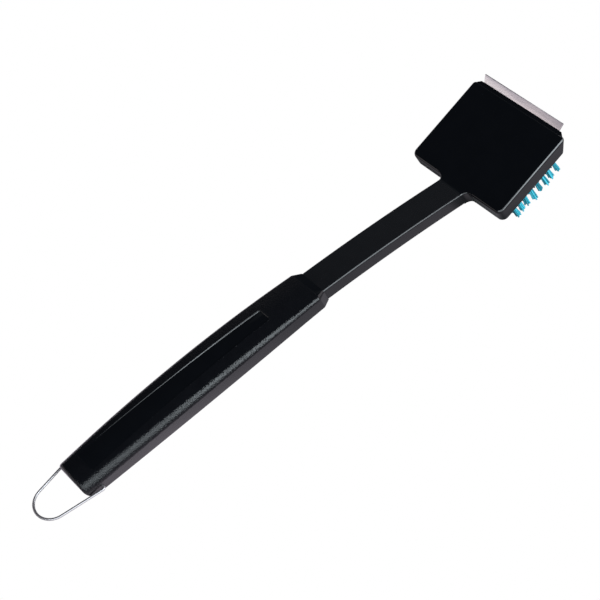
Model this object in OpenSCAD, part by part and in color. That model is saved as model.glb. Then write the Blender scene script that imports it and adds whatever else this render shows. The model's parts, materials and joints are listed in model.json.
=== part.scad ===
// Grill cleaning brush: a moulded head and neck with an arched grip, nylon tufts,
// a steel scraper blade and a wire hanging loop.
//
// Every piece is drawn in the brush frame: origin at the middle of the head's rear top
// edge, +X across the head, +Y towards the scraper, +Z out of the head's top face.
// lay() then sets the whole brush down on its rear tufts and the butt of its grip.

/* [Head] */
// Width of the head
head_w = 90; // [70:1:110]
// Length of the head's top face, rear edge to front rim
head_l = 72; // [60:1:90]
// Depth of the head's side walls
head_t = 13; // [11:0.5:16]
// Plan radius of the head's corners
head_corner_r = 5; // [3:0.5:8]
// Radius along the top edge of the head
head_edge_r = 1.6; // [0.5:0.1:2.4]
// Thickness of the head's walls and top
head_wall = 3; // [2:0.25:4]
// How far the bottom of the head's front wall lies behind its top
head_front_rake = 3; // [0:0.5:4]
// Radius where the neck runs into the head
neck_fillet_r = 4.5; // [2:0.5:8]

/* [Stem] */
// Radius of the arch of neck and grip
stem_r = 1400; // [900:10:2500]
// Slope of the stem where it leaves the head, degrees
stem_pitch = 28.3; // [20:0.1:35]
// Length of the stem along its arch
stem_l = 349; // [300:1:420]
// Width of the neck
neck_w = 23; // [18:0.2:26]
// Thickness of the neck
neck_t = 11.6; // [9:0.2:14]
// Wall thickness of the neck's channel
neck_wall = 2.2; // [1.6:0.1:3]
// Number of pockets along the underside of the neck
neck_pockets = 9; // [4:1:14]

/* [Grip] */
// Arch distance from the head to the front of the grip
grip_start = 137; // [120:1:160]
// Length of the bevel at the front of the grip
grip_bevel = 6.5; // [2:0.5:8]
// How much further forward the grip's front lies for each mm down its side
grip_front_rake = 0.3; // [0:0.05:0.4]
// Width of the grip at its ends
grip_end_w = 30.6; // [27:0.2:34]
// Width of the grip at its middle
grip_mid_w = 35; // [28:0.2:38]
// Height of the grip's top edges over the neck
grip_rise = 1.3; // [0.5:0.1:3]
// Height of the grip's crown over its top edges
grip_crown = 3.1; // [1:0.1:5]
// Depth of the grip's underside at its ends, from the neck's top
grip_end_depth = 12.6; // [12:0.1:16]
// Depth of the grip's underside at its middle, from the neck's top
grip_mid_depth = 14.2; // [12.5:0.1:18]
// Top edge radius at the front of the grip
grip_front_edge_r = 2.4; // [1:0.1:4]
// Top edge radius at the butt of the grip
grip_butt_edge_r = 4.6; // [2:0.1:6]
// Wall thickness of the grip shell
grip_wall = 2.6; // [2:0.1:3.2]

/* [Scraper] */
// Width of the blade where it leaves the nose
blade_w = 73.4; // [60:0.2:80]
// Width of the blade at its edge
blade_tip_w = 77; // [62:0.2:86]
// Blade thickness
blade_t = 1; // [0.8:0.1:1.5]
// Upward angle of the blade
blade_angle = 45; // [20:1:60]
// Sloped length of the blade from its bend to its edge
blade_l = 9.5; // [8:0.1:16]
// Depth of the blade's tab inside the head
blade_tab = 16; // [15:0.5:17]

/* [Bristles] */
// Rows of tufts along the head
tuft_rows = 8; // [4:1:9]
// Tufts across the head
tuft_columns = 13; // [7:2:13]
// Distance between tufts
tuft_pitch = 6.3; // [5.6:0.1:7]
// Distance of the first row from the rear edge
tuft_start = 14; // [11:0.5:14]
// Length of the tufts below the block
tuft_l = 19.5; // [12:0.5:30]
// Radius of a tuft at its hole
tuft_root_r = 1.55; // [1.2:0.05:1.8]
// Radius of a tuft at its tips
tuft_tip_r = 2.4; // [1.6:0.1:2.6]
// Depth of a tuft's hole
tuft_hole_depth = 6; // [4:0.5:6.5]

/* [Hang loop] */
// Wire diameter
wire_d = 1.8; // [1.4:0.1:2.6]
// Distance from the hinge to the far end of the loop
loop_l = 43; // [35:1:60]
// Half width of the loop beside the grip
loop_half_w = 18.2; // [17.6:0.1:20]
// Radius of the loop's round end
loop_end_r = 13; // [8:0.2:15]
// Arch distance from the butt of the grip to the hinge
hinge_setback = 12.5; // [9:0.5:20]
// Depth of the hinge below the neck's top line
hinge_depth = 7.8; // [6:0.1:8]

/* [Hidden] */

fit_gap = 0.15;        // gap round pieces that drop into each other
pin_gap = 0.05;        // radial running clearance of the hinge
cut = 0.5;             // overrun of cuts past a face
round_fn = 48;         // segments of true round shapes

// Stem arch: centre in the Y-Z plane and the angle of any point along it
stem_start_z = -1.2;
stem_cy = -stem_r * sin(stem_pitch);
stem_cz = stem_start_z - stem_r * cos(stem_pitch);
function stem_angle(s) = stem_pitch - s / stem_r * 180 / PI;
function stem_y(s, h) = stem_cy + (stem_r + h) * sin(stem_angle(s));
function stem_z(s, h) = stem_cz + (stem_r + h) * cos(stem_angle(s));
function stem_point(s, p) = [p.x, stem_y(s, p.y), stem_z(s, p.y)];

// Grip sizes along the arch
grip_front = grip_start + grip_bevel;
grip_mid = (grip_front + stem_l) / 2;
grip_half_l = (stem_l - grip_front) / 2;
function grip_bulge(s) = 1 - pow((s - grip_mid) / grip_half_l, 2);
function grip_half_w(s) = (grip_end_w + (grip_mid_w - grip_end_w) * grip_bulge(s)) / 2;
function grip_depth(s) = grip_end_depth + (grip_mid_depth - grip_end_depth) * grip_bulge(s);
function grip_edge_r(s) =
    grip_front_edge_r + (grip_butt_edge_r - grip_front_edge_r) * (s - grip_front) / (stem_l - grip_front);
function grip_low(s) =
    let (past = max(0, s - butt_low_s))
    -grip_depth(min(s, butt_low_s)) + butt_low_r - sqrt(pow(butt_low_r, 2) - pow(past, 2));
grip_low_r = 2;        // radius along the grip's lower edges
butt_r = 3;            // roundness of the butt
butt_low_r = 10;       // radius of the butt's lower corner, seen from the side
butt_low_s = stem_l - butt_low_r;
bevel_lip = 0.4;       // thickness of the bevel where it meets the neck
collar_end = grip_front + 8;              // solid front of the grip round the neck
cover_end = butt_low_s - 1;
cavity_end = stem_l - 4;                  // solid butt of the grip
cover_t = 2.4;         // thickness of the cover
step_s = 6;            // length of one facet along the arch

// Screws under the grip: two through the tang and one behind it
grip_screw_s = [165, 225, 315];
tang_end = 240;
tang_half_w = 6.5;
tang_top = -3;
tang_low = -9.5;

// Head insides
block_t = 8;
block_gap = 0.2;
block_low = -head_t;
block_top = block_low + block_t;
tab_z = -head_wall;                       // top of the blade's tab
nose_top = -0.4;                          // the nose lies just under the head's top
nose_half_w = head_w / 2 - 3;
nose_corner = 2.5;                          // bevel at the ends of the nose
bend_y = head_l + 0.3;                    // where the blade bends up
front_screw_y = bend_y - blade_tab + 5.7; // line of the scraper screws
front_screw_xs = [-4.5 * tuft_pitch, 4.5 * tuft_pitch];
rear_screw_col = 3;                       // columns from the middle, in place of a tuft
rear_screw_xs = [-rear_screw_col * tuft_pitch, rear_screw_col * tuft_pitch];

// Screw sizes: self-tapping, pan head
screw_r = 1.4;
screw_head_r = 2.7;
screw_head_t = 1.8;
pilot_r = screw_r + 0.05;
clear_r = screw_r + 0.3;
sink_r = screw_head_r + 0.3;
boss_r = 3.4;
boss_low = 4 - head_t;   // end of the head's screw bosses
screw_seat = 1.8 - head_t; // underside of the screw heads in the block

// Hang loop
wire_r = wire_d / 2;
hinge_s = stem_l - hinge_setback;
hinge_y = stem_y(hinge_s, -hinge_depth);
hinge_z = stem_z(hinge_s, -hinge_depth);
pin_reach = 8.5;                          // half distance between the pins' inner ends
bend_r = 1.6;                             // bend of the wire beside the grip
leg_angle = acos(loop_end_r / norm([loop_half_w, loop_l - loop_end_r]))
    - atan2(loop_l - loop_end_r, loop_half_w);
leg_turn = 90 + leg_angle;                // turn from the pin into the leg
leg_start = bend_r * tan(leg_turn / 2);
leg_l = sqrt(pow(norm([loop_half_w, loop_l - loop_end_r]), 2) - pow(loop_end_r, 2)) - leg_start;

// The brush lies on the rear edge of its first tufts and on the rounded butt
tuft_tip_z = block_low - tuft_l;
foot_y = tuft_start - tuft_tip_r;
butt_y = stem_y(butt_low_s, grip_low(butt_low_s) + butt_low_r);
butt_z = stem_z(butt_low_s, grip_low(butt_low_s) + butt_low_r);
foot_gap = norm([foot_y - butt_y, tuft_tip_z - butt_z]);
lie_angle = -atan2(tuft_tip_z - butt_z, foot_y - butt_y) - asin(butt_low_r / foot_gap);
lie_z = -(foot_y * sin(lie_angle) + tuft_tip_z * cos(lie_angle));
function lain_y(y, z) = y * cos(lie_angle) - z * sin(lie_angle);
function lain_z(y, z) = y * sin(lie_angle) + z * cos(lie_angle) + lie_z;
loop_drop = asin((lain_z(hinge_y, hinge_z) - wire_r) / loop_l);
blade_tip_y = bend_y + blade_l * cos(blade_angle) + blade_t * sin(blade_angle);
blade_tip_z = tab_z + blade_l * sin(blade_angle) - blade_t * cos(blade_angle);
front_y = lain_y(blade_tip_y, blade_tip_z);
rear_y = lain_y(hinge_y, hinge_z) - loop_l * cos(loop_drop) - wire_r;
lie_y = -(front_y + rear_y) / 2;

// Sets a piece down on the table
module lay() {
    translate([0, lie_y, lie_z]) rotate([lie_angle, 0, 0]) children();
}

// Shapes -------------------------------------------------------------------

function arc(x, y, r, from, to, n) =
    [for (i = [0:n]) let (a = from + (to - from) * i / n) [x + r * cos(a), y + r * sin(a)]];

// Outline of a bar's section: rounded corners, and a top that is crowned by `crown`
function bar_section(half_w, top, low, top_r, low_r, crown = 0) =
    let (raw = concat(
        arc(half_w - low_r, low + low_r, low_r, -90, 0, 3),
        arc(half_w - top_r, top - top_r, top_r, 0, 90, 5),
        [for (i = [1:7]) [(half_w - top_r) * (1 - i / 4), top]],
        arc(top_r - half_w, top - top_r, top_r, 90, 180, 5),
        arc(low_r - half_w, low + low_r, low_r, 180, 270, 3)))
    [for (p = raw)
        let (lift = max(0, (p.y - top + top_r) / top_r) * (1 - pow(p.x / half_w, 2)))
        [p.x, p.y + crown * lift]];

// Solid between equal rings of points
module skin(rings) {
    n = len(rings[0]);
    last = (len(rings) - 1) * n;
    sides = [for (j = [0:len(rings) - 2], i = [0:n - 1])
        let (a = j * n + i, b = j * n + (i + 1) % n)
        each [[a, a + n, b + n], [a, b + n, b]]];
    polyhedron([for (ring = rings) each ring],
        concat([[for (i = [0:n - 1]) i]], sides, [[for (i = [n - 1:-1:0]) last + i]]),
        convexity = 8);
}

// Distances along the arch, one facet apart
function steps(from, to) =
    let (n = ceil((to - from) / step_s)) [for (i = [0:n]) from + (to - from) * i / n];

// Stands children on the arch: +Z out of its top, +Y towards the head
module at_stem(s, h) {
    translate([0, stem_y(s, h), stem_z(s, h)]) rotate([-stem_angle(s), 0, 0]) children();
}

// Bar along the arch with one section
module stem_bar(from, to, section) {
    skin([for (s = steps(from, to)) [for (p = section) stem_point(s, p)]]);
}

// Box with rounded upright edges
module rounded_box(low, high, r) {
    size = high - low;
    translate([low.x + r, low.y, low.z]) cube([size.x - 2 * r, size.y, size.z]);
    translate([low.x, low.y + r, low.z]) cube([size.x, size.y - 2 * r, size.z]);
    for (x = [low.x + r, high.x - r], y = [low.y + r, high.y - r])
        translate([x, y, low.z]) cylinder(r = r, h = size.z, $fn = round_fn);
}

module rod(x, y, from, to, r) {
    translate([x, y, from]) cylinder(r = r, h = to - from, $fn = round_fn);
}

// Pan head screw standing on its head, with a cross recess
module screw(l) {
    difference() {
        union() {
            rod(0, 0, -screw_head_t, 0, screw_head_r);
            rod(0, 0, 0, l, screw_r);
        }
        for (turn = [0, 90]) rotate([0, 0, turn])
            translate([-1.5, -0.35, -screw_head_t - cut]) cube([3, 0.7, 1.1 + cut]);
    }
}

// Head and neck --------------------------------------------------------------

function head_ring(z, inset) =
    let (half_w = head_w / 2 - inset,
         front = head_l + head_front_rake * z / head_t - inset,
         r = head_corner_r - inset)
    [for (p = concat(
        arc(half_w - r, inset + r, r, -90, 0, 6),
        arc(half_w - r, front - r, r, 0, 90, 6),
        arc(r - half_w, front - r, r, 90, 180, 6),
        arc(r - half_w, inset + r, r, 180, 270, 6))) [p.x, p.y, z]];

module head_body() {
    skin(concat(
        [head_ring(-head_t, 0)],
        [for (a = [0:15:90])
            head_ring(head_edge_r * (sin(a) - 1), head_edge_r * (1 - cos(a)))]));
}

// Lip over the blade, with bevelled ends
module nose() {
    back = head_l - 4;
    tip = bend_y - tab_z + nose_top - fit_gap;
    intersection() {
        rotate([90, 0, 90]) linear_extrude(2 * nose_half_w, center = true)
            polygon([[back, tab_z], [bend_y - fit_gap, tab_z], [tip, nose_top], [back, nose_top]]);
        translate([0, 0, -head_t]) linear_extrude(head_t)
            polygon([[-nose_half_w, back], [nose_half_w, back], [nose_half_w, head_l + 0.5],
                [nose_half_w - nose_corner, tip + cut], [nose_corner - nose_half_w, tip + cut],
                [-nose_half_w, head_l + 0.5]]);
    }
}

module neck_fillets() {
    r = neck_fillet_r;
    for (side = [-1, 1]) difference() {
        translate([side * (neck_w / 2 + r / 2 - cut / 2), -r / 2 + cut / 2, -head_t / 2 - 1])
            cube([r + cut, r + cut, head_t - 2], center = true);
        rod(side * (neck_w / 2 + r), -r, -head_t - cut, 0, r);
    }
}

module head_screw_spots() {
    for (x = front_screw_xs) translate([x, front_screw_y, 0]) children();
    for (x = rear_screw_xs) translate([x, tuft_start, 0]) children();
}

module head_tray() {
    rounded_box([head_wall - head_w / 2, head_wall, -head_t - cut],
        [head_w / 2 - head_wall, head_l - head_front_rake - head_wall, -head_wall], 2.5);
}

module neck_pockets() {
    first = 4;
    pitch = (grip_start - 7 - first) / neck_pockets;
    for (i = [0:neck_pockets - 1]) at_stem(first + (i + 0.5) * pitch, -neck_t / 2)
        translate([0, 0, -neck_wall - cut])
            cube([neck_w - 2 * neck_wall, pitch - neck_wall, neck_t + 2 * cut - neck_wall],
                center = true);
}

module head_and_neck() color("#17181a") lay() difference() {
    union() {
        difference() {
            union() {
                head_body();
                nose();
                neck_fillets();
                difference() {
                    stem_bar(-4, collar_end, bar_section(neck_w / 2, 0, -neck_t, 1.6, 1));
                    translate([-neck_w, -6, -head_t - 20]) cube([2 * neck_w, 20, 20]);
                }
            }
            head_tray();
            neck_pockets();
        }
        head_screw_spots() rod(0, 0, boss_low, -head_wall + cut, boss_r);
        stem_bar(collar_end - cut, tang_end,
            bar_section(tang_half_w, tang_top, tang_low, 1, 1));
    }
    translate([-blade_w / 2 - fit_gap, head_l - 10, tab_z - blade_t - fit_gap])
        cube([blade_w + 2 * fit_gap, 14, blade_t + fit_gap]);
    head_screw_spots() rod(0, 0, boss_low - cut, -1.2, pilot_r);
    for (i = [0, 1]) at_stem(grip_screw_s[i], 0) rod(0, 0, tang_low - 2, tang_top + 2, clear_r);
}

// Grip -----------------------------------------------------------------------

function grip_section(s, inset = 0) =
    let (top = grip_rise - inset, height = top - grip_low(s))
    bar_section(grip_half_w(s) - inset, top, grip_low(s),
        min(max(grip_edge_r(s) - inset, 0.8), 0.5 * height), min(grip_low_r, 0.4 * height),
        grip_crown);

module grip_body() {
    front = bar_section(neck_w / 2 + bevel_lip, bevel_lip, -neck_t - bevel_lip, 1.6, 1);
    rings = concat(
        [[for (p = front) stem_point(grip_start + grip_front_rake * p.y, p)]],
        [for (s = steps(grip_front, butt_low_s))
            let (rake = grip_front_rake * max(0, 1 - (s - grip_front) / 15))
            [for (p = grip_section(s)) stem_point(s + rake * min(p.y, 0), p)]],
        [for (a = [8:8:40]) let (s = butt_low_s + butt_low_r * sin(a))
            [for (p = grip_section(s)) stem_point(s, p)]],
        [for (a = [0:15:90]) let (s = stem_l - butt_r * (1 - sin(a)))
            [for (p = grip_section(s, butt_r * (1 - cos(a)) * 0.9)) stem_point(s, p)]]);
    skin(rings);
}

function cavity_section(s, low) = bar_section(grip_half_w(s) - grip_wall, grip_rise - grip_wall,
    low, 1, 0.2, grip_crown);

// Inside of the grip: open at the bottom for the cover, closed behind it
module grip_cavity() {
    skin([for (s = steps(collar_end, cover_end))
        [for (p = cavity_section(s, -grip_depth(s) - 1)) stem_point(s, p)]]);
    skin([for (s = steps(cover_end - cut, cavity_end))
        [for (p = cavity_section(s, grip_low(s) + grip_wall)) stem_point(s, p)]]);
}

module grip_shell() color("#1b1c1f") lay() difference() {
    union() {
        difference() {
            grip_body();
            grip_cavity();
            stem_bar(grip_start - 5, collar_end + cut,
                bar_section(neck_w / 2 + fit_gap, fit_gap, -neck_t - fit_gap, 1.6, 1));
        }
        for (s = grip_screw_s) at_stem(s, 0)
            rod(0, 0, s < tang_end ? tang_top + fit_gap : -6, grip_rise + 1.5, boss_r);
        for (side = [0, 1]) mirror([side, 0, 0]) translate([0, hinge_y, hinge_z])
            rotate([0, 90, 0]) rod(0, 0, pin_reach + 0.5, grip_end_w / 2 - 1, 2.4);
    }
    for (s = grip_screw_s) at_stem(s, 0) rod(0, 0, -7, grip_rise + 0.8, pilot_r);
    translate([0, hinge_y, hinge_z]) rotate([0, 90, 0])
        cylinder(r = wire_r + pin_gap, h = 2 * grip_mid_w, center = true, $fn = round_fn);
}

module grip_cover() color("#1b1c1f") lay() difference() {
    union() {
        skin([for (s = steps(collar_end + fit_gap, cover_end - fit_gap))
            [for (p = bar_section(grip_half_w(s) - grip_wall - fit_gap, cover_t - grip_depth(s),
                -grip_depth(s), 0.6, 0.3)) stem_point(s, p)]]);
        for (s = grip_screw_s) at_stem(s, 0)
            rod(0, 0, -grip_depth(s) + 0.5, (s < tang_end ? tang_low : -6) - fit_gap, boss_r);
    }
    for (s = grip_screw_s) at_stem(s, -grip_depth(s)) {
        rod(0, 0, -1, 12, clear_r);
        rod(0, 0, -1, screw_head_t + 0.2, sink_r);
    }
}

module grip_screws() color("silver") lay() for (s = grip_screw_s)
    at_stem(s, -grip_depth(s) + screw_head_t + 0.2) screw(grip_depth(s) - screw_head_t);

// Brush block, blade and tufts -------------------------------------------------

function is_tuft(row, column) = row > 0 || abs(column) != rear_screw_col;
half_columns = (tuft_columns - 1) / 2;

// Places children at every tuft of one row
module tuft_spots(row) {
    for (column = [-half_columns:half_columns]) if (is_tuft(row, column))
        translate([column * tuft_pitch, tuft_start + row * tuft_pitch, 0]) children();
}

module brush_block() color("#17181a") lay() difference() {
    rounded_box([head_wall + block_gap - head_w / 2, head_wall + block_gap, block_low],
        [head_w / 2 - head_wall - block_gap, head_l - head_front_rake - head_wall - block_gap,
         block_top - fit_gap], 2.3);
    for (row = [0:tuft_rows - 1]) tuft_spots(row)
        rod(0, 0, block_low - cut, block_low + tuft_hole_depth + pin_gap, tuft_root_r + pin_gap);
    head_screw_spots() {
        rod(0, 0, boss_low - fit_gap, 0, boss_r + fit_gap);
        rod(0, 0, -head_t - cut, 0, clear_r);
        rod(0, 0, -head_t - cut, screw_seat, sink_r);
    }
}

module block_screws() color("silver") lay() for (x = rear_screw_xs)
    translate([x, tuft_start, screw_seat]) screw(9);

module scraper_screws() color("silver") lay() for (x = front_screw_xs)
    translate([x, front_screw_y, screw_seat]) screw(9);

module scraper_blade() color("#c9cacc") lay() {
    out = [cos(blade_angle), sin(blade_angle)];
    under = [sin(blade_angle), -cos(blade_angle)] * blade_t;
    bend = [bend_y, tab_z];
    side = concat(
        [[bend_y - blade_tab, tab_z]],
        [bend, bend + out * blade_l, bend + out * blade_l + under],
        arc(bend.x, bend.y, blade_t, blade_angle - 90, -90, 4),
        [[bend_y - blade_tab, tab_z - blade_t]]);
    difference() {
        intersection() {
            rotate([90, 0, 90]) linear_extrude(blade_tip_w, center = true) polygon(side);
            translate([0, 0, -head_t]) linear_extrude(2 * head_t)
                polygon([[-blade_w / 2, 0], [blade_w / 2, 0], [blade_w / 2, bend_y + 1],
                    [blade_tip_w / 2, blade_tip_y], [blade_tip_w / 2, blade_tip_y + cut],
                    [-blade_tip_w / 2, blade_tip_y + cut], [-blade_tip_w / 2, blade_tip_y],
                    [-blade_w / 2, bend_y + 1]]);
        }
        head_screw_spots() rod(0, 0, -head_t, 0, boss_r + fit_gap);
    }
}

// Folded wire anchor that holds a tuft at the bottom of its hole
anchor_size = [2.8, 0.35, 1.2];
anchor_z = block_low + tuft_hole_depth - 2.2;

module bristle_row(row) color("#0a8499") lay() tuft_spots(row) difference() {
    union() {
        rod(0, 0, block_low - 0.01, block_low + tuft_hole_depth, tuft_root_r);
        translate([0, 0, tuft_tip_z])
            cylinder(r1 = tuft_tip_r, r2 = tuft_root_r, h = tuft_l, $fn = round_fn);
    }
    translate([0, 0, anchor_z]) cube(anchor_size + [0.1, 0.1, 0.1], center = true);
}

module tuft_anchors() color("silver") lay() for (row = [0:tuft_rows - 1]) tuft_spots(row)
    translate([0, 0, anchor_z]) cube(anchor_size, center = true);

// Hang loop ------------------------------------------------------------------

module wire_arc(x, y, r, from, turn) {
    translate([x, y, 0]) rotate([0, 0, from])
        rotate_extrude(angle = turn, $fn = 96) translate([r, 0]) circle(wire_r, $fn = 24);
}

// Straight wire in the loop's plane, a hair thinner than the bends that its ends run into
module wire_run(x, y, direction, l) {
    translate([x, y, 0]) rotate([0, 0, direction]) rotate([0, 90, 0])
        translate([0, 0, -0.05]) cylinder(r = wire_r - 0.01, h = l + 0.1, $fn = 24);
}

// Drawn in its own plane: pins along X, far end towards +Y
module loop_wire() {
    for (side = [0, 1]) mirror([side, 0, 0]) {
        bend_x = loop_half_w - leg_start;
        wire_run(pin_reach, 0, 0, bend_x - pin_reach);
        wire_arc(bend_x, bend_r, bend_r, -90, leg_turn);
        wire_run(bend_x + bend_r * sin(leg_turn), bend_r * (1 - cos(leg_turn)), leg_turn, leg_l);
    }
    wire_arc(0, loop_l - loop_end_r, loop_end_r, leg_angle, 180 - 2 * leg_angle);
}

module hang_loop() color("#a9abae")
    translate([0, lain_y(hinge_y, hinge_z) + lie_y, lain_z(hinge_y, hinge_z)])
        rotate([180 + loop_drop, 0, 0]) loop_wire();

// Assembly -------------------------------------------------------------------

head_and_neck();
grip_shell();
grip_cover();
grip_screws();
brush_block();
block_screws();
scraper_blade();
scraper_screws();
tuft_anchors();
hang_loop();
for (i = [1:tuft_rows])
    bristle_row(i - 1);
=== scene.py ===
"""Looks of the grill cleaning brush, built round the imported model.

Pieces are modelled in millimetres in the brush frame: origin at the middle of the head's
rear top edge, +X across the head, +Y towards the scraper, +Z out of the head's top face.
LAY then takes them to the model's own frame, in metres, where the brush lies on a table.
"""

import json
import math
import random

import bmesh
import bpy
from mathutils import Matrix, Vector


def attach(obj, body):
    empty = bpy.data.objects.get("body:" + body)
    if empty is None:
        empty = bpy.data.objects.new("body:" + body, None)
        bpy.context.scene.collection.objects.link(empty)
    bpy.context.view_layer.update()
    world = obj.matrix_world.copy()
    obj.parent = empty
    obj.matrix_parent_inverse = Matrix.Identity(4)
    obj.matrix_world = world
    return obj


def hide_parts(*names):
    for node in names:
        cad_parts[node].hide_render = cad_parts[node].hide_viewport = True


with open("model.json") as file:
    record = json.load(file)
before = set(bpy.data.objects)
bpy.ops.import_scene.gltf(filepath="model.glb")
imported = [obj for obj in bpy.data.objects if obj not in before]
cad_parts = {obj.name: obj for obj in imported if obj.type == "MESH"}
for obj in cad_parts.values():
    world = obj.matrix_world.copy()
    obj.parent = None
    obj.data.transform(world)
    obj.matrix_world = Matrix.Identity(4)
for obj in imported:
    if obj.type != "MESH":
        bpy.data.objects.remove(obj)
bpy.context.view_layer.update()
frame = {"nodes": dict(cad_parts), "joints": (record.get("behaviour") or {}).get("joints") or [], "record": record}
RECORD = frame["record"]

# Sizes in millimetres -------------------------------------------------------------

# Head: size and wall, radii of its outline and of its upper and lower edges, raked front
HEAD_W, HEAD_L, HEAD_T, HEAD_WALL = 90, 72, 13, 3
HEAD_CORNER_R, HEAD_FRONT_R, HEAD_EDGE_R, HEAD_LOW_R = 5, 3.2, 2.6, 0.5
HEAD_FRONT, FRONT_RAKE = 73.2, 5.6

# Hollow under the head
TRAY_FRONT, TRAY_CORNER_R = 66, 2.5

# Lip over the scraper blade, and the slot that the blade's tab lies in
NOSE_TOP, NOSE_TIP, NOSE_HALF_W, NOSE_CORNER, NOSE_LIP_R = -0.4, 74.75, 42, 2.5, 0.3
BLADE_SLOT_HALF_W, BLADE_SLOT_T = 36.85, 1.15

# Corners between head and neck, and the hollow curve from the head's top into the neck's
FILLET_R, FILLET_EDGE_R = 4.5, 1.6
BLEND_R, BLEND_Y, BLEND_Z = 16, 1.8, -0.02

# Arch that neck and grip follow: radius, slope at the head, length, height at the head
STEM_R, STEM_PITCH, STEM_L, STEM_START_Z = 1400, math.radians(28.3), 349, -1.2

# Neck: section, edges and the hollows under it; its fine grain starts behind GRAIN_START_Y
NECK_W, NECK_T, NECK_EDGE_R, NECK_LOW_R = 23, 11.6, 1.6, 1
NECK_WALL, NECK_POCKETS, POCKET_CORNER_R = 2.2, 9, 1.2
GRAIN_START_Y = -4.4

# Grip: front bevel from GRIP_START to GRIP_FRONT, widths, depths, crown, edges and butt
GRIP_START, GRIP_FRONT, FRONT_SHEAR, LIP = 137, 143.5, 0.3, 0.4
GRIP_END_W, GRIP_MID_W, GRIP_RISE = 30.6, 35, 1.3
GRIP_END_DEPTH, GRIP_MID_DEPTH = 12.6, 14.2
GRIP_CROWN, GRIP_FRONT_CROWN, CROWN_RUN = 3.1, 1.5, 60
GRIP_FRONT_EDGE_R, GRIP_BUTT_EDGE_R, GRIP_LOW_R = 2.4, 5.6, 2
GRIP_WALL, BUTT_R, BUTT_LOW_R = 2.6, 3, 10
BUTT_LOW_S = STEM_L - BUTT_LOW_R

# Smooth panel on the grip: ends along the arch, half widths there, corners
PANEL_START, PANEL_END = 179.5, 336
PANEL_FRONT_W, PANEL_REAR_W, PANEL_CORNER_R = 5.4, 8.5, 1.8

# Tufts: grid, length below the head, radius in the hole, sunk roots. Screws take two places.
TUFT_ROWS, TUFT_COLUMNS, TUFT_PITCH, TUFT_START = 8, 13, 6.3, 14
TUFT_L, TUFT_ROOT_R, TUFT_SINK = 19.5, 1.55, 1.5
SCREW_COLUMN = 3
FILAMENTS, FILAMENT_R, FILAMENT_SIDES, FILAMENT_STEPS = 8, 0.62, 6, 5
GOLDEN_TURN = math.pi * (3 - math.sqrt(5))
TABLE_GAP = 0.2

# Hang loop: wire, its outline, and the pins that turn in the grip's bosses
WIRE_R, LOOP_L, LOOP_HALF_W, LOOP_END_R, LOOP_BEND_R = 0.9, 43, 18.2, 13, 1.6
PIN_REACH, BOSS_R, PIN_GAP = 8.5, 2.4, 0.05

# The brush frame in the model's frame ---------------------------------------------


def mount(name):
    """The record's mount of that name."""
    return next(m for m in RECORD["mounts"] if m["name"] == name)


TIPS = mount("bristle_tips")
LIE = math.atan2(TIPS["axis"][1], -TIPS["axis"][2])
TURN = Matrix.Rotation(LIE, 4, "X") @ Matrix.Scale(0.001, 4)
MIDDLE_TIP = Vector((0, TUFT_START + 3 * TUFT_PITCH, -HEAD_T - TUFT_L))
LAY = Matrix.Translation(Vector(TIPS["pos_m"]) - TURN @ MIDDLE_TIP) @ TURN

# Mesh tools -----------------------------------------------------------------------


def arc(x, y, r, start, end, n):
    """Points of an arc, angles in degrees."""
    turns = (math.radians(start + (end - start) * i / n) for i in range(n + 1))
    return [(x + r * math.cos(a), y + r * math.sin(a)) for a in turns]


def spread(start, end, step):
    """Even steps from start to end, none longer than step."""
    n = math.ceil((end - start) / step)
    return [start + (end - start) * i / n for i in range(n + 1)]


def add_object(name, points, faces):
    """Mesh object in the scene, with its faces turned outwards."""
    mesh = bpy.data.meshes.new(name)
    mesh.from_pydata([tuple(p) for p in points], [], faces)
    bm = bmesh.new()
    bm.from_mesh(mesh)
    bmesh.ops.recalc_face_normals(bm, faces=bm.faces)
    bm.to_mesh(mesh)
    bm.free()
    obj = bpy.data.objects.new(name, mesh)
    bpy.context.scene.collection.objects.link(obj)
    return obj


def skin(name, rings):
    """Closed surface through equal rings of points."""
    n = len(rings[0])
    points = [p for ring in rings for p in ring]
    faces = [
        (j * n + i, j * n + (i + 1) % n, (j + 1) * n + (i + 1) % n, (j + 1) * n + i)
        for j in range(len(rings) - 1)
        for i in range(n)
    ]
    faces.append(tuple(range(n)))
    faces.append(tuple(range(len(points) - n, len(points))))
    return add_object(name, points, faces)


def box(name, low, high):
    corners = ((low[0], low[1]), (high[0], low[1]), (high[0], high[1]), (low[0], high[1]))
    return skin(name, [[(x, y, z) for x, y in corners] for z in (low[2], high[2])])


def rod(name, a, b, r, n=32):
    """Round bar from a to b."""
    a, b = Vector(a), Vector(b)
    along = (b - a).normalized()
    side = along.orthogonal().normalized()
    up = along.cross(side)
    turns = [2 * math.pi * i / n for i in range(n)]
    ring = [side * (r * math.cos(t)) + up * (r * math.sin(t)) for t in turns]
    return skin(name, [[a + p for p in ring], [b + p for p in ring]])


def join(objects):
    """One object of all the meshes, which stay separate shells in it."""
    bm = bmesh.new()
    for obj in objects:
        bm.from_mesh(obj.data)
    bm.to_mesh(objects[0].data)
    bm.free()
    for obj in objects[1:]:
        bpy.data.objects.remove(obj)
    return objects[0]


def combine(base, operation, *tools):
    """Boolean of base with each tool in turn."""
    for tool in tools:
        modifier = base.modifiers.new("combine", "BOOLEAN")
        modifier.operation = operation
        modifier.object = tool
        modifier.solver = "EXACT"
        modifier.use_self = True
        view = bpy.context.evaluated_depsgraph_get()
        mesh = bpy.data.meshes.new_from_object(base.evaluated_get(view))
        base.modifiers.clear()
        base.data = mesh
        bpy.data.objects.remove(tool)
    return base


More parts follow.
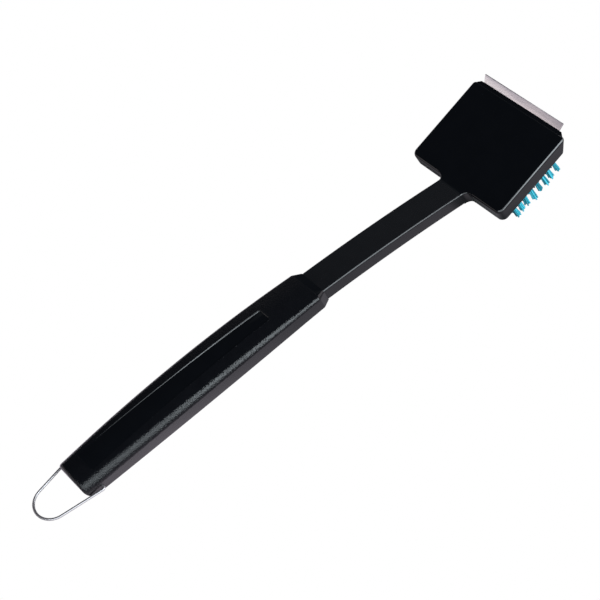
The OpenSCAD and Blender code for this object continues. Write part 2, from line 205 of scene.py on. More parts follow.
def bevel(obj, width, segments, pick):
    """Rounds the picked edges that stand out."""
    bm = bmesh.new()
    bm.from_mesh(obj.data)
    edges = [e for e in bm.edges if len(e.link_faces) == 2 and e.calc_face_angle() > 0.5 and pick(e)]
    bmesh.ops.bevel(bm, geom=edges, offset=width, segments=segments, profile=0.5, affect="EDGES")
    bm.to_mesh(obj.data)
    bm.free()


def hand_over(obj, body, slot, *nodes, smooth=35):
    """Sets a finished piece in place, shades it and ties it to the model."""
    obj.data.transform(LAY)
    obj.data.shade_smooth()
    obj.data.set_sharp_from_angle(angle=math.radians(smooth))
    weighted = obj.modifiers.new("flat faces stay flat", "WEIGHTED_NORMAL")
    weighted.keep_sharp = True
    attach(obj, body)
    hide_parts(*nodes)
    return obj


# Materials ------------------------------------------------------------------------


class Nodes:
    """Short form of node building for one material."""

    def __init__(self, name):
        self.material = bpy.data.materials.new(name)
        self.material.use_nodes = True
        self.tree = self.material.node_tree
        self.shader = self.tree.nodes["Principled BSDF"]
        self.place = self.tree.nodes.new("ShaderNodeTexCoord").outputs["Object"]

    def set(self, **values):
        for name, value in values.items():
            self.shader.inputs[name.replace("_", " ")].default_value = value

    def link(self, source, target):
        self.tree.links.new(source, target)

    def noise(self, size_mm, stretch=(1, 1, 1), detail=2):
        """Noise with features of about that size."""
        scale = self.tree.nodes.new("ShaderNodeMapping")
        scale.inputs["Scale"].default_value = [1000 / size_mm / s for s in stretch]
        self.link(self.place, scale.inputs["Vector"])
        noise = self.tree.nodes.new("ShaderNodeTexNoise")
        noise.inputs["Scale"].default_value = 1
        noise.inputs["Detail"].default_value = detail
        self.link(scale.outputs[0], noise.inputs["Vector"])
        return noise.outputs["Fac"]

    def pebbles(self, size_mm):
        """Rounded grains of about that size, high in the middle of each."""
        cells = self.tree.nodes.new("ShaderNodeTexVoronoi")
        cells.feature = "SMOOTH_F1"
        cells.inputs["Scale"].default_value = 1000 / size_mm
        cells.inputs["Smoothness"].default_value = 0.35
        self.link(self.place, cells.inputs["Vector"])
        return self.remap(cells.outputs["Distance"], 0, 0.7, 1, 0)

    def remap(self, value, low, high, new_low, new_high):
        remap = self.tree.nodes.new("ShaderNodeMapRange")
        for socket, number in zip(remap.inputs[1:5], (low, high, new_low, new_high)):
            socket.default_value = number
        self.link(value, remap.inputs[0])
        return remap.outputs[0]

    def maths(self, operation, *values):
        node = self.tree.nodes.new("ShaderNodeMath")
        node.operation = operation
        for value, socket in zip(values, node.inputs):
            self.link(value, socket)
        return node.outputs[0]

    def parts(self):
        """X, Y and Z of the object's own coordinates."""
        node = self.tree.nodes.new("ShaderNodeSeparateXYZ")
        self.link(self.place, node.inputs[0])
        return node.outputs

    def colours(self, value, first, second):
        """Colour that runs from first to second with value."""
        mix = self.tree.nodes.new("ShaderNodeMix")
        mix.data_type = "RGBA"
        self.link(value, mix.inputs["Factor"])
        mix.inputs["A"].default_value = (*first, 1)
        mix.inputs["B"].default_value = (*second, 1)
        return mix.outputs["Result"]

    def base_colour(self, value, first, second):
        self.link(self.colours(value, first, second), self.shader.inputs["Base Color"])

    def roughness(self, value, smooth, rough):
        """Roughness that varies with a noise."""
        self.link(self.remap(value, 0.3, 0.7, smooth, rough), self.shader.inputs["Roughness"])

    def bump(self, height, depth_mm, over=None):
        """Relief of that depth, laid over another relief if one is given."""
        bump = self.tree.nodes.new("ShaderNodeBump")
        bump.inputs["Strength"].default_value = 1
        bump.inputs["Distance"].default_value = depth_mm / 1000
        self.link(height, bump.inputs["Height"])
        if over is not None:
            self.link(over, bump.inputs["Normal"])
        self.link(bump.outputs["Normal"], self.shader.inputs["Normal"])
        return bump.outputs["Normal"]


def polished_plastic():
    """Black moulded plastic with a polished face and a faint waviness."""
    n = Nodes("polished black plastic")
    n.set(IOR=1.38)
    n.base_colour(n.noise(14), (0.0006, 0.0008, 0.0012), (0.0012, 0.0014, 0.002))
    n.roughness(n.noise(5, detail=4), 0.07, 0.14)
    n.bump(n.noise(9), 0.01, n.bump(n.noise(0.5), 0.0015))
    return n.material


def etched_plastic():
    """Black plastic with the fine even grain of an etched mould."""
    n = Nodes("fine grained black plastic")
    n.set(IOR=1.35)
    n.base_colour(n.noise(8), (0.0016, 0.0017, 0.0022), (0.003, 0.003, 0.0036))
    n.roughness(n.noise(1.2), 0.2, 0.3)
    n.bump(n.noise(0.45), 0.012)
    return n.material


def pebbled_plastic():
    """Black plastic with the coarse pebble grain of the grip."""
    n = Nodes("pebbled black plastic")
    n.set(IOR=1.27)
    n.base_colour(n.noise(6), (0.0012, 0.0013, 0.0018), (0.0024, 0.0025, 0.0032))
    n.roughness(n.noise(0.7), 0.1, 0.2)
    n.bump(n.pebbles(0.85), 0.13, n.bump(n.noise(0.3), 0.005))
    return n.material


def side_plastic():
    """Black plastic of the grip's sides, drawn smoother by the mould than its top."""
    n = Nodes("smooth grained black plastic")
    n.set(IOR=1.4)
    n.base_colour(n.noise(6), (0.0016, 0.0015, 0.002), (0.0028, 0.0027, 0.0034))
    n.roughness(n.noise(1.6), 0.24, 0.34)
    n.bump(n.noise(0.6), 0.006)
    return n.material


def satin_plastic():
    """Plain black plastic of the hidden side."""
    n = Nodes("satin black plastic")
    n.set(IOR=1.38)
    n.base_colour(n.noise(4), (0.006, 0.006, 0.007), (0.01, 0.01, 0.011))
    n.roughness(n.noise(2), 0.35, 0.5)
    n.bump(n.noise(0.4), 0.006)
    return n.material


def nylon():
    """Teal filament, a little translucent, each with its own shade."""
    n = Nodes("teal nylon")
    n.set(IOR=1.42, Roughness=0.45)
    shade = n.tree.nodes.new("ShaderNodeAttribute")
    shade.attribute_name = "shade"
    n.base_colour(shade.outputs["Fac"], (0.0005, 0.07, 0.095), (0.03, 0.28, 0.35))
    n.bump(n.noise(0.5, (1, 1, 4)), 0.01)
    return n.material


def brushed_steel():
    """Sheet steel brushed along the blade and streaked, with a painted reflection that makes it lighter near the
    bend and darker towards its edge.
    """
    n = Nodes("brushed steel")
    n.set(Metallic=1, Anisotropic=0.6)
    bend = (LAY @ Vector((0, HEAD_L + 1, -2))).z
    edge = (LAY @ Vector((0, HEAD_L + 7, 4))).z
    # Painted reflection: the base colour runs from light at the bend to dark at the edge.
    painted_reflection = n.remap(n.parts()[2], bend, edge, 0.95, 0.2)
    streaks = n.remap(n.noise(3, (9, 1, 1)), 0.3, 0.7, -0.2, 0.2)
    n.base_colour(n.maths("ADD", painted_reflection, streaks), (0.42, 0.4, 0.42), (0.84, 0.78, 0.75))
    n.roughness(n.noise(0.4, (60, 1, 1)), 0.28, 0.42)
    n.bump(n.noise(0.3, (80, 1, 1)), 0.004)
    return n.material


def drawn_wire():
    """Bright drawn wire with faint lengthwise streaks."""
    n = Nodes("drawn steel wire")
    n.set(Metallic=1)
    n.base_colour(n.noise(1.5), (0.24, 0.23, 0.24), (0.33, 0.31, 0.31))
    n.roughness(n.noise(0.6), 0.4, 0.52)
    n.bump(n.noise(0.3, (1, 12, 1)), 0.004)
    return n.material


def zinc():
    """Zinc plated screw steel, slightly blotched."""
    n = Nodes("zinc plated steel")
    n.set(Metallic=1)
    n.base_colour(n.noise(1.1, detail=4), (0.42, 0.43, 0.45), (0.6, 0.6, 0.58))
    n.roughness(n.noise(0.8), 0.25, 0.45)
    n.bump(n.noise(0.25), 0.004)
    return n.material


POLISHED, ETCHED, PEBBLED = polished_plastic(), etched_plastic(), pebbled_plastic()
SIDE, SATIN = side_plastic(), satin_plastic()
NYLON, STEEL, WIRE, ZINC = nylon(), brushed_steel(), drawn_wire(), zinc()


def paint(obj, materials, choose=lambda centre: 0):
    """Gives each face the material that choose names for its centre."""
    obj.data.materials.clear()
    for material in materials:
        obj.data.materials.append(material)
    for face in obj.data.polygons:
        face.material_index = choose(face.center)


# Stem: the arch that neck and grip follow -------------------------------------------

STEM_Y = -STEM_R * math.sin(STEM_PITCH)
STEM_Z = STEM_START_Z - STEM_R * math.cos(STEM_PITCH)


def stem_point(s, x, h):
    """Point at distance s along the arch, x to the side and h above the neck's top."""
    angle = STEM_PITCH - s / STEM_R
    return Vector((x, STEM_Y + (STEM_R + h) * math.sin(angle), STEM_Z + (STEM_R + h) * math.cos(angle)))


def stem_place(point):
    """The distance along the arch, and the height, of a point in the brush frame."""
    y, z = point.y - STEM_Y, point.z - STEM_Z
    return STEM_R * (STEM_PITCH - math.atan2(y, z)), math.hypot(y, z) - STEM_R


def bar_section(half_w, top, low, top_r, low_r, crown=0.0, tops=()):
    """Outline of a bar. The top is crowned, and tops lists its inner points as (x, sink)."""
    right = arc(half_w - top_r, top - top_r, top_r, 0, 90, 10)
    left = [(-x, y) for x, y in reversed(right)]
    inner = [(x, top - sink) for x, sink in tops]
    across = inner + [(-x, y) for x, y in reversed(inner)]
    outline = arc(half_w - low_r, low + low_r, low_r, -90, 0, 6) + right + across + left
    outline += arc(low_r - half_w, low + low_r, low_r, 180, 270, 6)
    points = []
    for x, y in outline:
        lift = max(0.0, min(1.0, (y - top + top_r) / top_r)) * (1 - (x / half_w) ** 2)
        points.append((x, y + crown * lift))
    return points


def stem_ring(s, section, rake=0.0):
    """Section set across the arch, leaning forward by rake for each mm down."""
    return [stem_point(s + rake * min(h, 0), x, h) for x, h in section]


# Head and neck ----------------------------------------------------------------------


def rounded_outline(half_w, rear, front, rear_r, front_r, n):
    """Rectangle seen from above, with one radius at its rear corners and one at its front."""
    outline = arc(half_w - rear_r, rear + rear_r, rear_r, -90, 0, n)
    outline += arc(half_w - front_r, front - front_r, front_r, 0, 90, n)
    outline += arc(front_r - half_w, front - front_r, front_r, 90, 180, n)
    return outline + arc(rear_r - half_w, rear + rear_r, rear_r, 180, 270, n)


def head_ring(z, inset):
    """The head's outline at one height, drawn in by inset; its front leans back below."""
    front = HEAD_FRONT + FRONT_RAKE * z / HEAD_T - inset
    rear_r, front_r = HEAD_CORNER_R - inset, HEAD_FRONT_R - inset
    return [(x, y, z) for x, y in rounded_outline(HEAD_W / 2 - inset, inset, front, rear_r, front_r, 14)]


def head_block():
    """The head's solid, with a rounded upper edge and a nearly sharp lower one."""
    low = [
        head_ring(-HEAD_T + HEAD_LOW_R * (1 - math.sin(a)), HEAD_LOW_R * (1 - math.cos(a)))
        for a in (math.pi / 2, math.pi / 3, math.pi / 6, 0)
    ]
    turns = [math.pi / 2 * i / 10 for i in range(11)]
    top = [head_ring(HEAD_EDGE_R * (math.sin(a) - 1), HEAD_EDGE_R * (1 - math.cos(a))) for a in turns]
    return skin("head_and_neck_moulding", low + top)


def nose():
    """Lip over the blade: flat top, sloping underside, bevelled ends."""
    half_w, back, lap, shoulder = NOSE_HALF_W, HEAD_L - 4, HEAD_L + 0.15, HEAD_L + 0.5
    plan = [(-half_w, back), (half_w, back), (half_w, shoulder), (half_w - NOSE_CORNER, NOSE_TIP)]
    plan += [(NOSE_CORNER - half_w, NOSE_TIP), (-half_w, shoulder)]
    low = [(x, min(y, lap), -HEAD_WALL - 0.01) for x, y in plan]
    obj = skin("nose", [low, [(x, y, NOSE_TOP) for x, y in plan]])

    def on_lip(edge):
        return min(v.co.y for v in edge.verts) > back + 1 and max(v.co.z for v in edge.verts) > -1

    bevel(obj, NOSE_LIP_R, 3, on_lip)
    return obj


def blend_z(y):
    """Height of the hollow curve that takes the head's top up into the neck's."""
    reach = min(max(0.0, BLEND_Y - y), BLEND_R * math.sin(STEM_PITCH))
    return BLEND_Z + BLEND_R - math.sqrt(BLEND_R**2 - reach**2)


def neck_top(s):
    """Height of the neck's top over the arch, raised into the blend near the head."""
    h = 0.0
    for _ in range(6):
        point = stem_point(s, 0, h)
        if point.y < BLEND_Y - BLEND_R * math.sin(STEM_PITCH):
            return h
        h += (blend_z(point.y) - point.z) * math.cos(STEM_PITCH)
    return h


def neck_bar():
    """The neck from inside the head to inside the grip, cut off level with the head's low rim."""
    tops = [(x, 0) for x in (7, 3.5, 0)]
    rings = []
    for s in spread(-4, 9, 0.5) + spread(10, GRIP_START + 6, 3):
        section = bar_section(NECK_W / 2, neck_top(s), -NECK_T, NECK_EDGE_R, NECK_LOW_R, tops=tops)
        rings.append(stem_ring(s, section))
    for ring in rings:
        for point in ring:
            point.z = max(point.z, -HEAD_T)
    return skin("neck", rings)


def neck_fillet(side):
    """Round corner between the neck's side and the head's rear wall."""
    centre_x, centre_y = NECK_W / 2 + FILLET_R, -FILLET_R
    depth = FILLET_R + 3
    neck_low = stem_point(0, 0, 0.02 - NECK_T)
    edge = [
        (FILLET_R + FILLET_EDGE_R * (1 - math.cos(t)), FILLET_EDGE_R * (math.sin(t) - 1))
        for t in (math.pi / 2 * i / 8 for i in range(9))
    ]
    section = [(depth, -HEAD_T), (FILLET_R, -HEAD_T)] + edge + [(depth, 0)]
    rings = []
    for a in spread(-12, 102, 6):
        along, across = math.cos(math.radians(a)), math.sin(math.radians(a))
        ring = []
        for i, (reach, h) in enumerate(section):
            x, y = centre_x - reach * along, centre_y + reach * across
            top = blend_z(y) - 0.03
            low = max(h, neck_low.z - (y - neck_low.y) * math.tan(STEM_PITCH))
            ring.append((side * x, y, low if i < 2 else top + h))
        rings.append(ring)
    return skin("fillet", rings)


def rounded_tray():
    """Hollow under the head."""
    half_w, r = HEAD_W / 2 - HEAD_WALL, TRAY_CORNER_R
    outline = rounded_outline(half_w, HEAD_WALL, TRAY_FRONT, r, r, 6)
    return skin("tray", [[(x, y, z) for x, y in outline] for z in (-HEAD_T - 1, -HEAD_WALL)])


def neck_pockets():
    """Hollows under the neck, with a rib between each two."""
    first, last = 4, GRIP_START - 7
    pitch = (last - first) / NECK_POCKETS
    half_w, r = NECK_W / 2 - NECK_WALL, POCKET_CORNER_R
    pockets = []
    for i in range(NECK_POCKETS):
        start, end = first + i * pitch + NECK_WALL / 2, first + (i + 1) * pitch - NECK_WALL / 2
        outline = rounded_outline(half_w, start, end, r, r, 4)
        rings = [[stem_point(s, x, h) for x, s in outline] for h in (-NECK_T - 2, -NECK_WALL)]
        pockets.append(skin("pocket", rings))
    return join(pockets)


def head_and_neck():
    """One moulding, hollow below: polished on the head, finely grained on the neck."""
    obj = head_block()
    combine(obj, "UNION", nose(), neck_bar(), neck_fillet(1), neck_fillet(-1))
    half_w, slot_low = BLADE_SLOT_HALF_W, -HEAD_WALL - BLADE_SLOT_T
    slot = box("slot", (-half_w, HEAD_L - 10, slot_low), (half_w, HEAD_L + 4, -HEAD_WALL))
    combine(obj, "DIFFERENCE", rounded_tray(), neck_pockets(), slot)
    paint(obj, [POLISHED, ETCHED], lambda centre: 1 if centre.y < GRAIN_START_Y else 0)
    return hand_over(obj, "brush", "neck_black", "head_and_neck")


# Grip -------------------------------------------------------------------------------

GRIP_MIDDLE, GRIP_HALF_L = (GRIP_FRONT + STEM_L) / 2, (STEM_L - GRIP_FRONT) / 2


def bulge(s):
    """1 at the grip's middle and 0 at its ends."""
    return 1 - ((s - GRIP_MIDDLE) / GRIP_HALF_L) ** 2


def grip_half_w(s):
    return (GRIP_END_W + (GRIP_MID_W - GRIP_END_W) * bulge(s)) / 2


def grip_depth(s):
    return GRIP_END_DEPTH + (GRIP_MID_DEPTH - GRIP_END_DEPTH) * bulge(s)


def grip_crown(s):
    """Crown of the top, flatter at the grip's front."""
    along = max(0, min(1, (s - GRIP_FRONT) / CROWN_RUN))
    return GRIP_FRONT_CROWN + (GRIP_CROWN - GRIP_FRONT_CROWN) * along * along * (3 - 2 * along)


def grip_edge_r(s):
    """Radius of the top's edges, which grows towards the butt."""
    along = (s - GRIP_FRONT) / (STEM_L - GRIP_FRONT)
    return GRIP_FRONT_EDGE_R + (GRIP_BUTT_EDGE_R - GRIP_FRONT_EDGE_R) * along


def panel_half_w(s):
    """Half width of the smooth panel, with rounded corners; 0 beyond its ends."""
    if not PANEL_START <= s <= PANEL_END:
        return 0
    full = PANEL_FRONT_W + (PANEL_REAR_W - PANEL_FRONT_W) * (s - PANEL_START) / (PANEL_END - PANEL_START)
    into = min(s - PANEL_START, PANEL_END - s, PANEL_CORNER_R)
    return full - PANEL_CORNER_R + math.sqrt(PANEL_CORNER_R**2 - (PANEL_CORNER_R - into) ** 2)


def panel_distance(s, x):
    """Distance outside the panel's rounded outline, negative on the panel."""
    full = panel_half_w(min(max(s, PANEL_START + PANEL_CORNER_R), PANEL_END - PANEL_CORNER_R))
    aside = abs(x) - full + PANEL_CORNER_R
    along = max(PANEL_START - s, s - PANEL_END) + PANEL_CORNER_R
    return min(max(aside, along), 0) + math.hypot(max(aside, 0), max(along, 0)) - PANEL_CORNER_R


# Fine bead round the panel and the step inside it: distance outside the outline, sink
PANEL_BEAD = [(0.5, 0), (0.42, -0.03), (0.3, -0.1), (0.18, -0.13), (0.06, -0.1)]
PANEL_EDGE = PANEL_BEAD + [(-0.02, 0), (-0.1, 0.12), (-0.2, 0.24), (-0.32, 0.3)]


def panel_sink(s, x):
    """Depth of the top's surface below its plain crown, less marked towards the butt."""
    distance = panel_distance(s, x)
    fade = 1 - 0.6 * max(0, min(1, (s - PANEL_START) / (PANEL_END - PANEL_START)))
    for (outer, high), (inner, low) in zip(PANEL_EDGE, PANEL_EDGE[1:]):
        if distance >= outer:
            return high * fade
        if distance >= inner:
            return (high + (low - high) * (outer - distance) / (outer - inner)) * fade
    return PANEL_EDGE[-1][1] * fade


def grip_tops(s, half_w, edge_r):
    """Points across one half of the grip's top, from its edge inwards, as (x, sink)."""
    rim = panel_half_w(min(max(s, PANEL_START), PANEL_END))
    outer = half_w - edge_r
    first, last = rim + 0.7, rim - 0.5
    across = [outer + (first - outer) * i / 6 for i in range(1, 7)]
    across += [rim + offset for offset, _ in PANEL_EDGE]
    across += [last * (1 - i / 4) for i in range(5)]
    return [(x, panel_sink(s, x)) for x in across]


def grip_low(s):
    """Height of the grip's underside, with the butt's large lower radius."""
    past = max(0.0, s - BUTT_LOW_S)
    return BUTT_LOW_R - math.sqrt(BUTT_LOW_R**2 - past**2) - grip_depth(min(s, BUTT_LOW_S))


def grip_section(s, inset=0.0):
    """The grip's outline at s, drawn in by inset where the butt rounds off."""
    top, low = GRIP_RISE - inset, grip_low(s)
    edge_r = min(max(grip_edge_r(s) - inset, 0.8), 0.5 * (top - low))
    half_w = grip_half_w(s) - inset
    tops = grip_tops(s, half_w, edge_r)
    return bar_section(half_w, top, low, edge_r, min(GRIP_LOW_R, 0.4 * (top - low)), grip_crown(s), tops)


def bevel_section():
    """The grip's outline where its front bevel meets the neck."""
    half_w = NECK_W / 2 + LIP
    tops = grip_tops(GRIP_START, half_w, NECK_EDGE_R)
    return bar_section(half_w, LIP, -NECK_T - LIP, NECK_EDGE_R, NECK_LOW_R, 0, tops)


def mixed(a, b, t):
    """Outline part of the way from a to b."""
    return [((1 - t) * p[0] + t * q[0], (1 - t) * p[1] + t * q[1]) for p, q in zip(a, b)]


def grip_body():
    """The outside: front bevel, arched body with rings close together at the panel's ends, butt."""
    corner = [-offset for offset, _ in PANEL_EDGE] + [0.6, 0.9, 1.3, 1.8]
    fine = [PANEL_START + into for into in corner]
    tail = [PANEL_END - into for into in reversed(corner)]
    body = spread(GRIP_FRONT + 0.5, PANEL_START - 1, 3) + fine
    body += spread(PANEL_START + 3, PANEL_END - 3, 3) + tail
    body += spread(PANEL_END + 1, BUTT_LOW_S, 3)
    body += [BUTT_LOW_S + BUTT_LOW_R * math.sin(math.radians(a)) for a in range(4, 41, 4)]
    front, full = bevel_section(), grip_section(GRIP_FRONT)
    bevel_l, shear_run = GRIP_FRONT - GRIP_START, 15
    rings = [
        stem_ring(GRIP_START + bevel_l * t, mixed(front, full, t), FRONT_SHEAR) for t in (0, 0.06, 0.5, 0.9)
    ]
    rings.append(stem_ring(GRIP_FRONT - 0.1, mixed(front, full, 0.98), FRONT_SHEAR))
    for s in body:
        shear = FRONT_SHEAR * max(0, 1 - (s - GRIP_FRONT) / shear_run)
        rings.append(stem_ring(s, grip_section(s), shear))
    for i in range(11):
        a = math.pi / 2 * i / 10
        s = STEM_L - BUTT_R * (1 - math.sin(a))
        rings.append(stem_ring(s, grip_section(s, BUTT_R * (1 - math.cos(a)) * 0.9)))
    return skin("grip_shell_moulding", rings)


def grip_cavity():
    """Hollow of the shell: open below along the cover, closed at the butt."""
    cover_end = BUTT_LOW_S - 1

    def part(start, end, low):
        rings = []
        for s in spread(start, end, 6):
            half_w = grip_half_w(s) - GRIP_WALL
            section = bar_section(half_w, GRIP_RISE - GRIP_WALL, low(s), 1, 0.2, grip_crown(s), [(0, 0)])
            rings.append(stem_ring(s, section))
        return skin("cavity", rings)

    return (
        part(GRIP_FRONT + 8, cover_end, lambda s: -grip_depth(s) - 1),
        part(cover_end - 0.5, STEM_L - 4, lambda s: grip_low(s) + GRIP_WALL),
    )


HINGE = LAY.inverted() @ Vector(frame["joints"][0]["pos_m"])


def grip_shell():
    """The grip's moulding, with a boss inside each wall for the loop's pins."""
    obj = grip_body()
    combine(obj, "DIFFERENCE", *grip_cavity())

    def across(name, start, end, r):
        return rod(name, (start, HINGE.y, HINGE.z), (end, HINGE.y, HINGE.z), r)

    inner, outer = PIN_REACH + 0.5, GRIP_END_W / 2 - 1
    combine(obj, "UNION", *(across("boss", side * inner, side * outer, BOSS_R) for side in (1, -1)))
    combine(obj, "DIFFERENCE", across("hinge hole", -GRIP_MID_W, GRIP_MID_W, WIRE_R + PIN_GAP))
    bead_reach, side_drop = 0.4, 1.2

    def choose(centre):
        """Polished on the front bevel and the panel, smooth on the sides, pebbled on top."""
        s, h = stem_place(centre)
        if s < GRIP_FRONT or h > GRIP_RISE and panel_distance(s, centre.x) < bead_reach:
            return 1
        return 2 if h < GRIP_RISE - grip_edge_r(s) - side_drop else 0

    paint(obj, [PEBBLED, POLISHED, SIDE], choose)
    return hand_over(obj, "brush", "grip_black", "grip_shell")


# Bristles ---------------------------------------------------------------------------


def filament(root, tip, bow):
    """Rings of one filament, which bends by bow at its middle and spreads near its tip."""
    turns = [math.tau * i / FILAMENT_SIDES for i in range(FILAMENT_SIDES)]
    ring = [Vector((FILAMENT_R * math.cos(a), FILAMENT_R * math.sin(a), 0)) for a in turns]
    spread_out = Vector((tip.x - root.x, tip.y - root.y, 0)) * 0.6
    rings = []
    for j in range(FILAMENT_STEPS + 1):
        t = j / FILAMENT_STEPS
        centre = root.lerp(tip, t) + bow * (4 * t * (1 - t)) - spread_out * (t * (1 - t))
        rings.append([centre + p for p in ring])
    return rings


def tube_faces(base, rings, n):
    """Faces of a closed tube whose points start at base, n of them to a ring."""
    faces = []
    for j in range(base, base + (rings - 1) * n, n):
        faces += [(j + i, j + (i + 1) % n, j + n + (i + 1) % n, j + n + i) for i in range(n)]
    last = base + (rings - 1) * n
    return faces + [tuple(range(base, base + n)), tuple(range(last, last + n))]


def tuft(centre, column, rng):
    """Rings and shades of a tuft's filaments, which fan out and lean from the head's middle."""
    fan = rng.uniform(1.6, 2.6)
    lean = Vector((rng.gauss(0, 0.5) + 0.36 * column, rng.gauss(0, 0.6) - 0.3, 0))
    tone = rng.gauss(0, 0.12)
    found = []
    for k in range(FILAMENTS):
        reach = (TUFT_ROOT_R - FILAMENT_R) * math.sqrt((k + 0.5) / FILAMENTS)
        turn = k * GOLDEN_TURN + rng.uniform(-0.3, 0.3)
        out = Vector((reach * math.cos(turn), reach * math.sin(turn), 0))
        root = centre + out + Vector((0, 0, -HEAD_T + TUFT_SINK))
        stray = Vector((rng.gauss(0, 0.15), rng.gauss(0, 0.15), abs(rng.gauss(0, 0.25))))
        tip = centre + out * fan + lean + stray + Vector((0, 0, -HEAD_T - TUFT_L))
        bow = Vector((rng.gauss(0, 0.15), rng.gauss(0, 0.15), 0))
        height = (LAY @ (tip + Vector((0, -FILAMENT_R, 0)))).z * 1000
        if height < TABLE_GAP:
            tip.z += (TABLE_GAP - height) / math.cos(LIE)
        found.append((filament(root, tip, bow), min(1, max(0, rng.random() + tone))))
    return found


def bristle_row(row, rng):
    """A row of tufts as one mesh, with each filament's shade kept on its points."""
    points, faces, shades = [], [], []
    for column in range(-(TUFT_COLUMNS // 2), TUFT_COLUMNS // 2 + 1):
        if row == 0 and abs(column) == SCREW_COLUMN:
            continue
        centre = Vector((column * TUFT_PITCH, TUFT_START + row * TUFT_PITCH, 0))
        for rings, shade in tuft(centre, column, rng):
            faces += tube_faces(len(points), len(rings), FILAMENT_SIDES)
            points += [p for ring in rings for p in ring]
            shades += [shade] * (len(rings) * FILAMENT_SIDES)
    obj = add_object(f"bristle_row_{row + 1}_filaments", points, faces)
    attribute = obj.data.attributes.new("shade", "FLOAT", "POINT")
    attribute.data.foreach_set("value", shades)
    paint(obj, [NYLON])
    return hand_over(obj, "brush", "nylon", f"bristle_row_{row + 1}", smooth=70)


# Hang loop --------------------------------------------------------------------------


def loop_path():
    """Right half of the wire in its own plane, from the pin's end to the far end."""
    far = LOOP_L - LOOP_END_R
    span = math.hypot(LOOP_HALF_W, far)
    leg = math.acos(LOOP_END_R / span) - math.atan2(far, LOOP_HALF_W)
    turn = math.pi / 2 + leg
    start = LOOP_BEND_R * math.tan(turn / 2)
    path = [(PIN_REACH, 0)]
    path += arc(LOOP_HALF_W - start, LOOP_BEND_R, LOOP_BEND_R, -90, math.degrees(turn) - 90, 14)
    path += arc(0, far, LOOP_END_R, math.degrees(leg), 90, 36)
    return path


def hang_loop():
    """The wire, turned at its hinge until its far end rests on the table."""
    half = loop_path()
    path = half + [(-x, y) for x, y in reversed(half[:-1])]
    hinge = Vector(frame["joints"][0]["pos_m"])
    drop = math.asin((hinge.z - WIRE_R / 1000) / (LOOP_L / 1000))
    plane = Matrix.Translation(hinge) @ Matrix.Rotation(math.pi + drop, 4, "X") @ Matrix.Scale(0.001, 4)
    sides = 20
    turns = [math.tau * k / sides for k in range(sides)]
    rings = []
    for i, (x, y) in enumerate(path):
        before, after = Vector(path[max(i - 1, 0)]), Vector(path[min(i + 1, len(path) - 1)])
        along = (after - before).normalized()
        centre, side, up = Vector((x, y, 0)), Vector((along.y, -along.x, 0)), Vector((0, 0, 1))
        ring = [centre + side * (WIRE_R * math.cos(a)) + up * (WIRE_R * math.sin(a)) for a in turns]
        rings.append(ring)
    obj = skin("hang_loop_wire", rings)
    obj.data.transform(LAY.inverted() @ plane)
    paint(obj, [WIRE])
    return hand_over(obj, "loop", "wire_steel", "hang_loop", smooth=50)


# Pieces that keep their CAD shape ---------------------------------------------------


def finish_cad_nodes():
    """Gives these pieces their materials."""
    finishes = {
        "scraper_blade": STEEL,
        "brush_block": SATIN,
        "grip_cover": ETCHED,
        "grip_screws": ZINC,
        "block_screws": ZINC,
        "scraper_screws": ZINC,
        "tuft_anchors": ZINC,
    }
    for node, material in finishes.items():
        for slot in frame["nodes"][node].material_slots:
            slot.material = material


# Studio -----------------------------------------------------------------------------


def pale_floor():
    """Glowing table with painted light and shade: a painted shadow under the brush and under the head, a painted
    brighter band beside the grip towards the butt, and a dimmer glow close beside the brush and far away.
    Distances are in metres.
    """
    n = Nodes("pale floor")
    n.set(Base_Color=(0.1, 0.1, 0.1, 1), Roughness=0.9, Specular_IOR_Level=0)
    n.set(Emission_Color=(1, 0.9, 1.02, 1))
    x, y, _ = n.parts()
    aside = n.maths("ABSOLUTE", x)
    rear = (LAY @ Vector((0, 0, -HEAD_T))).y
    # Painted shadow: the glow drops to a quarter right under the brush.
    painted_shadow_under_brush = n.remap(aside, 0.008, 0.02, 0.25, 1)
    # Painted light: a brighter band beside the grip, strongest towards the butt.
    along_grip = n.remap(y, -0.12, 0, 1, 0.12)
    painted_light_beside_grip = n.maths("MULTIPLY", n.remap(aside, 0.025, 0.052, 1, 0), along_grip)
    open_floor = n.remap(aside, 0.068, 0.1, 0.34, 0.75)
    # Painted shadow under the head: the glow drops where both of these are low.
    painted_head_shadow_across = n.remap(aside, 0.05, 0.062, 0.1, 1)
    painted_head_shadow_along = n.remap(y, rear - 0.008, rear, 1, 0.1)
    distance = n.tree.nodes.new("ShaderNodeVectorMath")
    distance.operation = "LENGTH"
    n.link(n.place, distance.inputs[0])
    far_floor = n.remap(distance.outputs["Value"], 0.32, 0.6, 1, 0.12)
    shade = n.maths("MULTIPLY", painted_shadow_under_brush, far_floor)
    bright = n.maths("MULTIPLY", n.maths("ADD", painted_light_beside_grip, open_floor), shade)
    shaded = n.maths("MULTIPLY", bright, n.maths("MAXIMUM", painted_head_shadow_across, painted_head_shadow_along))
    n.link(shaded, n.shader.inputs["Emission Strength"])
    return n.material


def floor():
    """Table top that the brush reflects and the camera doesn't see, so views from below work."""
    half = 6
    corners = [(-half, -half, 0), (half, -half, 0), (half, half, 0), (-half, half, 0)]
    obj = add_object("floor", corners, [(0, 1, 2, 3)])
    obj.data.materials.append(pale_floor())
    obj.visible_camera = False


def area_light(name, direction, distance, size, radiance, colour):
    """Rectangular soft light of an even radiance, seen from the brush in that direction."""
    data = bpy.data.lights.new(name, "AREA")
    data.color = colour
    data.shape = "RECTANGLE"
    data.size, data.size_y = size
    data.energy = radiance * math.pi * size[0] * size[1]
    obj = bpy.data.objects.new(name, data)
    bpy.context.scene.collection.objects.link(obj)
    direction = Vector(direction).normalized()
    obj.location = Vector((0, 0, 0.02)) + direction * distance
    obj.rotation_euler = direction.to_track_quat("Z", "Y").to_euler()


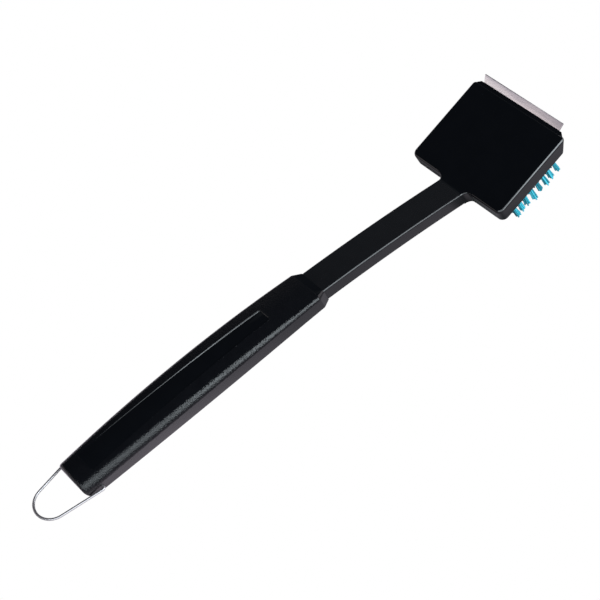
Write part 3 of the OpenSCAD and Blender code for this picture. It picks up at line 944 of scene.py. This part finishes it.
def white_backdrop():
    """Dim room for the brush to reflect, seen as plain white behind it."""
    world = bpy.data.worlds.new("white backdrop")
    world.use_nodes = True
    tree = world.node_tree
    mix = tree.nodes.new("ShaderNodeMix")
    mix.data_type = "RGBA"
    mix.inputs["A"].default_value = (0.054, 0.06, 0.072, 1)
    mix.inputs["B"].default_value = (1, 1, 1, 1)
    is_seen = tree.nodes.new("ShaderNodeLightPath").outputs["Is Camera Ray"]
    tree.links.new(is_seen, mix.inputs["Factor"])
    tree.links.new(mix.outputs["Result"], tree.nodes["Background"].inputs["Color"])
    bpy.context.scene.world = world


def studio():
    """Two key lights on the right for the long highlights, and weak fills round the brush."""
    floor()
    cool, warm = (0.86, 0.95, 1), (1, 0.93, 0.92)
    area_light("key front", (0.78, 0.4, 0.52), 1.6, (1.1, 1.3), 11, cool)
    area_light("key rear", (0.72, -0.5, 0.52), 1.6, (2.9, 1.4), 5.2, cool)
    area_light("blade card", (-0.48, -0.86, 0.1), 1.2, (1.0, 0.4), 1.5, warm)
    area_light("front fill", (0.1, 0.9, 0.42), 1.8, (1.4, 1.2), 1.8, (1, 0.94, 1))
    area_light("left fill", (-0.84, 0.42, 0.34), 1.8, (0.8, 0.6), 0.3, (1, 0.93, 0.95))
    area_light("back fill", (-0.52, 0.53, 0.68), 1.8, (0.9, 0.5), 0.13, cool)
    white_backdrop()
    bpy.context.scene.view_settings.view_transform = "Standard"


# Camera -----------------------------------------------------------------------------


def camera():
    """The brush seen from above and to its right; place and axes are in the brush frame."""
    data = bpy.data.cameras.new("camera")
    data.lens, data.sensor_width = 90, 36
    obj = bpy.data.objects.new("camera", data)
    bpy.context.scene.collection.objects.link(obj)
    place = LAY @ Vector((550.0, -173.4, 929.6))
    turn = LAY.to_3x3().normalized()
    forward = turn @ Vector((-0.532, 0.034, -0.846))
    up = turn @ Vector((-0.539, 0.757, 0.369))
    right = forward.cross(up).normalized()
    up = right.cross(forward).normalized()
    axes = Matrix((right, up, -forward.normalized())).transposed()
    obj.matrix_world = Matrix.Translation(place) @ axes.to_4x4()
    bpy.context.scene.camera = obj


camera()
studio()
head_and_neck()
grip_shell()
shared_chance = random.Random(11)
for row in range(TUFT_ROWS):
    bristle_row(row, shared_chance)
hang_loop()
finish_cad_nodes()
